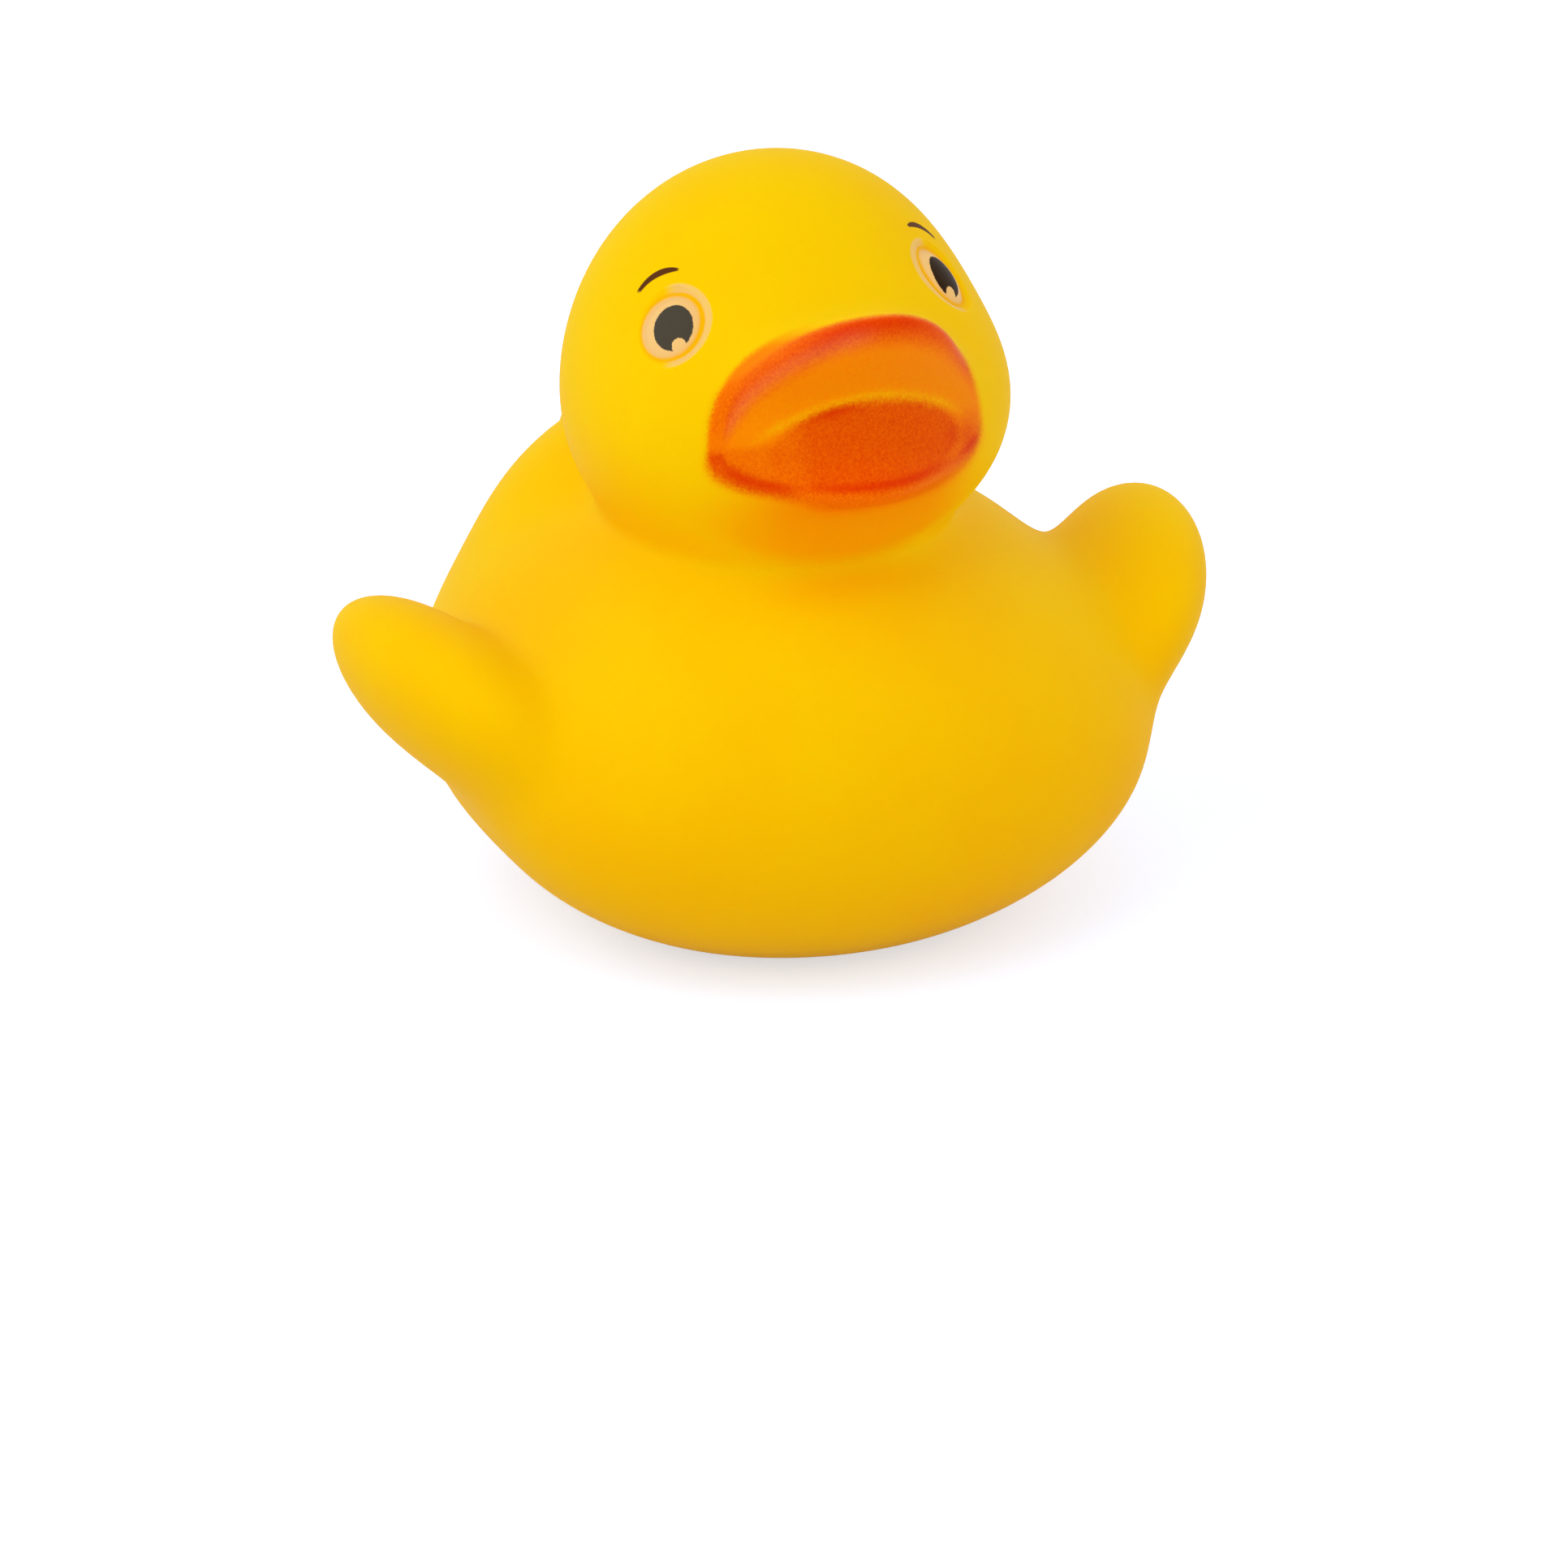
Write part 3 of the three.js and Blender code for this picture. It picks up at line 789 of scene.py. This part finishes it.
spray, given, result = new_group(
    "spray_grain",
    [
        ("Place", VECTOR, None),
        ("Density", NUMBER, 0.0),
        ("Grain", NUMBER, 0.5),
        ("Size", NUMBER, 0.2),
    ],
    [("Mask", NUMBER)],
)
speck_scale = spray.math("DIVIDE", 1.0, given["Size"])
speck = spray.noise(given["Place"], scale=speck_scale, detail=2.5, roughness=0.6)
uneven = spray.times(spray.math("SUBTRACT", speck, NOISE_MIDDLE), given["Grain"])
open_area = spray.times(given["Density"], spray.rest(given["Density"]), OPEN_AREA_GAIN)
shaken = spray.math("MULTIPLY_ADD", uneven, open_area, given["Density"], clamp=True)
spray.plug(shaken, result["Mask"])

oval, given, result = new_group(
    "painted_oval",
    [
        ("Place", VECTOR, None),
        ("Centre", VECTOR, (0, 0, 0)),
        ("Half Size", VECTOR, (1, 1, 1)),
        ("Tilt", NUMBER, 0.0),
        ("Soft", NUMBER, 0.1),
        ("Ragged", NUMBER, 0.0),
    ],
    [("Mask", NUMBER), ("Reach", NUMBER)],
)
turned = oval.node("ShaderNodeCombineXYZ", {"Z": given["Tilt"]}).outputs[0]
to_oval = {"Location": given["Centre"], "Rotation": turned, "Scale": given["Half Size"]}
to_oval["Vector"] = given["Place"]
local = oval.node("ShaderNodeMapping", to_oval, vector_type="TEXTURE").outputs[0]
flat = oval.node("ShaderNodeVectorMath", {0: local, 1: (1, 1, 0)}, operation="MULTIPLY").outputs[0]
oval_reach = oval.node("ShaderNodeVectorMath", {0: flat}, operation="LENGTH").outputs["Value"]
tear = oval.noise(given["Place"], scale=7.0, detail=3.0, roughness=0.7)
uneven = oval.math("SUBTRACT", tear, NOISE_MIDDLE)
torn = oval.math("MULTIPLY_ADD", uneven, given["Ragged"], oval_reach)
oval.plug(oval.rest(oval.step(torn, oval.rest(given["Soft"]), 1.0)), result["Mask"])
oval.plug(oval_reach, result["Reach"])

material = bpy.data.materials.new("painted_vinyl")
material.use_nodes = True
material.node_tree.nodes.clear()
g = Graph(material.node_tree)
in_metres = g.node("ShaderNodeTexCoord").outputs["Object"]
in_mm = g.node("ShaderNodeMapping", {"Vector": in_metres, "Scale": (1 / MM,) * 3}).outputs[0]

CLOUDY = 0.25
CLOUD_EDGE = (0.35, 0.75)
SHADE_LOW_DOWN = 0.45
SHADE_LOW_DOWN_FROM = (30.0, 2.0)
PORES = 0.10
PORE_EDGE = (0.55, 0.8)

cloud = g.noise(in_mm, scale=0.07, detail=3.0, roughness=0.55)
pores = g.noise(in_mm, scale=3.2, detail=3.0, roughness=0.6)
height = g.node("ShaderNodeSeparateXYZ", {0: in_mm}).outputs["Z"]
tone_and_shade = g.times(g.step(cloud, *CLOUD_EDGE), CLOUDY)
# Painted shade: the yellow turns deeper towards the bottom of the duck, where less light falls.
tone_and_shade = g.math("MULTIPLY_ADD", g.step(height, *SHADE_LOW_DOWN_FROM), SHADE_LOW_DOWN, tone_and_shade)
vinyl = g.mix(tone_and_shade, YELLOW, DEEP_YELLOW)
vinyl = g.mix(g.times(g.step(pores, *PORE_EDGE), PORES), vinyl, DEEP_YELLOW)

SPRAY = {"Grain": 0.5, "Size": 0.15}
MIST_AND_REFLECTION = 0.70

orange = g.group(spray, {"Place": in_mm, **SPRAY, "Density": g.stored("orange_coat")})["Mask"]
red = g.group(spray, {"Place": in_mm, **SPRAY, "Density": g.stored("red_coat")})["Mask"]
# Orange below the bill: partly spray mist, partly a painted reflection of the bill.
colour = g.mix(g.times(g.stored("orange_mist_and_reflection"), MIST_AND_REFLECTION), vinyl, ORANGE)
colour = g.mix(orange, colour, ORANGE)
colour = g.mix(red, colour, RED)

WHITE_OVAL = {"Centre": (0.12, 0.02, 0), "Half Size": (1.84, 1.97, 1), "Soft": 0.12}
PUPIL_OVAL = {"Centre": (-0.20, -0.06, 0), "Half Size": (1.20, 1.40, 1), "Soft": 0.05}
PUPIL_RAGGED = 0.10
PUPIL_TILT = -0.30
LEFT_PUPIL_TILTED_MORE = -0.30
NOTCH_OVAL = {"Centre": (-0.92, -1.02, 0), "Half Size": (0.46, 0.46, 1), "Soft": 0.12}
NOTCH_RAGGED = 0.5
RING_OVAL = {"Centre": (0.0, 0.05, 0), "Half Size": (2.15, 2.3, 1)}
RING_EDGE = (0.07, 0.13)
RING_LEAN = -0.35
RING_TO_BILL = (0.6, -0.4)
RING_CREAM = 0.75
SOCKET_SHADE_EDGE = (0.98, 0.88)
SOCKET_SHADE = 0.55
BROW_OVAL = {"Centre": (0.62, 1.28, 0), "Half Size": (2.35, 2.05, 1), "Tilt": -0.3}
BROW_EDGE = (0.085, 0.115)
BROW_THICKEST = 1.9
BROW_TAPER = 0.05
BROW_ABOVE = (1.55, 1.8)
BROW_FROM = (0.7, 0.9)

eye_place = g.stored("eye_place", "Vector")
eye_parts = g.node("ShaderNodeSeparateXYZ", {0: eye_place}).outputs
left_side = g.stored("left_side")


def stamp(sizes, **more):
    """A painted oval's outputs, at a place in the eye."""
    return g.group(oval, {"Place": eye_place, **sizes, **more})


white = stamp(WHITE_OVAL)["Mask"]
tilt = g.math("MULTIPLY_ADD", left_side, LEFT_PUPIL_TILTED_MORE, PUPIL_TILT)
pupil = stamp(PUPIL_OVAL, Tilt=tilt, Ragged=PUPIL_RAGGED)["Mask"]
pupil = g.times(pupil, g.rest(stamp(NOTCH_OVAL, Ragged=NOTCH_RAGGED)["Mask"]))

ring_reach = stamp(RING_OVAL)["Reach"]
to_bill = g.math("MULTIPLY_ADD", eye_parts["Y"], RING_LEAN, eye_parts["X"])
ring = g.times(g.rest(g.step(g.off(ring_reach, 1.0), *RING_EDGE)), g.step(to_bill, *RING_TO_BILL))

from_thickest = g.math("SUBTRACT", eye_parts["X"], BROW_THICKEST)
thinner = g.times(from_thickest, from_thickest, BROW_TAPER)
brow_edge = g.math("ADD", g.off(stamp(BROW_OVAL)["Reach"], 1.0), thinner)
brow = g.times(
    g.rest(g.step(brow_edge, *BROW_EDGE)),
    g.step(eye_parts["Y"], *BROW_ABOVE),
    g.step(eye_parts["X"], *BROW_FROM),
)

# Painted shade: the yellow inside the ring of the socket, round the eyeball, is darkened where the
# socket lies in shade.
colour = g.mix(g.times(g.step(ring_reach, *SOCKET_SHADE_EDGE), SOCKET_SHADE), colour, DEEP_YELLOW)
colour = g.mix(g.times(ring, RING_CREAM), colour, CREAM)
colour = g.mix(white, colour, CREAM)
# Painted reflection: the right pupil is a lighter grey, as if its gloss reflected the room; the
# left pupil is dark.
colour = g.mix(pupil, colour, g.mix(left_side, PUPIL_PAINTED_REFLECTION, PUPIL))
colour = g.mix(brow, colour, BROW)

MATT = 0.62
PAINT_SMOOTHER = -0.15
PORE_ROUGHER = 0.10
WET_WHITE = 0.10
LIGHT_ENTERS = 0.30

ink = g.math("MAXIMUM", pupil, brow)
painted = g.math("MAXIMUM", orange, g.math("MAXIMUM", white, brow))
wet_white = g.times(g.math("SUBTRACT", white, pupil), WET_WHITE)
wet = g.math("MAXIMUM", g.stored("wet_coat"), wet_white)
roughness = g.math("MULTIPLY_ADD", painted, PAINT_SMOOTHER, MATT)
uneven = g.math("SUBTRACT", pores, NOISE_MIDDLE)
roughness = g.math("MULTIPLY_ADD", uneven, PORE_ROUGHER, roughness)
grain = g.noise(in_mm, scale=6.0, detail=2.0)
bump = g.node("ShaderNodeBump", {"Height": grain, "Strength": 0.04, "Distance": 0.0001}).outputs[0]
shader = g.node(
    "ShaderNodeBsdfPrincipled",
    {
        "Base Color": colour,
        "Roughness": roughness,
        "IOR": 1.48,
        "Specular IOR Level": 0.08,
        "Specular Tint": SHEEN,
        "Coat Weight": wet,
        "Coat Roughness": 0.32,
        "Subsurface Weight": g.math("MULTIPLY_ADD", ink, -LIGHT_ENTERS, LIGHT_ENTERS),
        "Subsurface Radius": (1.0, 0.35, 0.05),
        "Subsurface Scale": 0.005,
        "Normal": bump,
    },
)
g.node("ShaderNodeOutputMaterial", {"Surface": shader.outputs[0]})
mesh.materials.append(material)

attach(duck_skin, "root")
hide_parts("duck_moulding")


# The floor
# A plain pale sheet under the duck, which runs out of view on all sides and keeps its shadow. It
# is seen with a cool tint, against the yellow light that the duck throws on it.

FLOOR_HALF = 1.5
FLOOR_ROUGHNESS = 0.9
FLOOR_GLOW = 0.60
FLOOR_GREY = (0.80, 0.80, 0.80, 1)
FLOOR_SEEN = (0.46, 0.61, 1.0, 1)
WHITE = (1, 1, 1, 1)

corners = [(-FLOOR_HALF, -FLOOR_HALF, 0), (FLOOR_HALF, -FLOOR_HALF, 0)]
corners += [(FLOOR_HALF, FLOOR_HALF, 0), (-FLOOR_HALF, FLOOR_HALF, 0)]
floor_mesh = bpy.data.meshes.new("floor")
floor_mesh.from_pydata(corners, [], [(0, 1, 2, 3)])
floor = bpy.data.objects.new("floor", floor_mesh)
scene.collection.objects.link(floor)
floor_material = bpy.data.materials.new("pale_floor")
floor_material.use_nodes = True
sheet = Graph(floor_material.node_tree)
sheet_inputs = floor_material.node_tree.nodes["Principled BSDF"].inputs
sheet_rays = sheet.node("ShaderNodeLightPath").outputs
seen = sheet.math("MAXIMUM", sheet_rays["Is Camera Ray"], sheet_rays["Is Glossy Ray"])
sheet.plug(FLOOR_ROUGHNESS, sheet_inputs["Roughness"])
sheet.plug(WHITE, sheet_inputs["Emission Color"])
sheet.plug(sheet.times(seen, FLOOR_GLOW), sheet_inputs["Emission Strength"])
sheet.plug(sheet.mix(seen, FLOOR_GREY, FLOOR_SEEN), sheet_inputs["Base Color"])
floor_mesh.materials.append(floor_material)


# Light and camera
# A large soft lamp high on the duck's right, a low one in front of it and a broad warm one on its
# left, in an even pale room. The camera looks from the duck's right front, a little from above.

WORLD_LIGHT = 0.76
ROOM_TINT = (1.0, 0.94, 0.86, 1)
AIM_HEIGHT = 0.022

world = bpy.data.worlds.new("room")
scene.world = world
world.use_nodes = True
world.node_tree.nodes.clear()
room = Graph(world.node_tree)
rays = room.node("ShaderNodeLightPath").outputs
seen = room.math("MAXIMUM", rays["Is Camera Ray"], rays["Is Transmission Ray"])
seen = room.math("MAXIMUM", seen, rays["Is Glossy Ray"])
strength = room.math("MULTIPLY_ADD", seen, 1 - WORLD_LIGHT, WORLD_LIGHT)
room_colour = room.mix(seen, ROOM_TINT, WHITE)
background = room.node("ShaderNodeBackground", {"Color": room_colour, "Strength": strength})
room.node("ShaderNodeOutputWorld", {"Surface": background.outputs[0]})


def outward(azimuth, elevation):
    """The way from the duck to a lamp or the camera. Azimuth 0 is straight in front of the bill."""
    level = np.cos(elevation)
    return np.array([np.sin(azimuth) * level, -np.cos(azimuth) * level, np.sin(elevation)])


def lamp(name, azimuth, elevation, distance, size, power, colour):
    """A square soft lamp aimed at the middle of the duck, in degrees, metres and watts."""
    place = Vector(outward(np.radians(azimuth), np.radians(elevation))) * distance
    data = bpy.data.lights.new(name, "AREA")
    data.size = size
    data.energy = power
    data.color = colour
    lamp_object = bpy.data.objects.new(name, data)
    scene.collection.objects.link(lamp_object)
    aim = Vector((0, 0, AIM_HEIGHT)) - place
    lamp_turn = aim.to_track_quat("-Z", "Y").to_matrix().to_4x4()
    lamp_object.matrix_world = Matrix.Translation(place) @ lamp_turn


lamp("key_lamp", -80, 48, distance=0.9, size=0.9, power=3.0, colour=(0.96, 1.0, 0.92))
lamp("front_lamp", -15, 3, distance=1.0, size=0.8, power=1.7, colour=(1.0, 0.93, 0.85))
lamp("fill_lamp", 75, 15, distance=1.0, size=1.2, power=1.5, colour=(1.0, 0.80, 0.60))

CAMERA_AZIMUTH = np.radians(-22.58)
CAMERA_ELEVATION = np.radians(20.6)
CAMERA_ROLL = np.radians(0.13)
CAMERA_DISTANCE = 504.4
CAMERA_TARGET = (0, -2.09, 22.0)
TARGET_ON_SENSOR = (-0.2003, 6.0501)
LENS = 203.0
SENSOR = 36.0

back = outward(CAMERA_AZIMUTH, CAMERA_ELEVATION)
level_right = np.array([np.cos(CAMERA_AZIMUTH), np.sin(CAMERA_AZIMUTH), 0])
level_up = np.cross(back, level_right)
right = np.cos(CAMERA_ROLL) * level_right - np.sin(CAMERA_ROLL) * level_up
up = np.sin(CAMERA_ROLL) * level_right + np.cos(CAMERA_ROLL) * level_up
position = np.array(CAMERA_TARGET) + [0, recentre, 0] + back * CAMERA_DISTANCE
looking = unit(back + right * TARGET_ON_SENSOR[0] / LENS + up * TARGET_ON_SENSOR[1] / LENS)
right = unit(right - (right @ looking) * looking)
up = np.cross(looking, right)
camera_turn = Matrix([[*row] for row in np.stack([right, up, looking], 1)])
camera_data = bpy.data.cameras.new("camera")
camera_data.sensor_width = SENSOR
camera_data.lens = LENS
camera = bpy.data.objects.new("camera", camera_data)
scene.collection.objects.link(camera)
camera.matrix_world = Matrix.Translation(Vector(position * MM)) @ camera_turn.to_4x4()
scene.camera = camera
scene.view_settings.view_transform = "Standard"
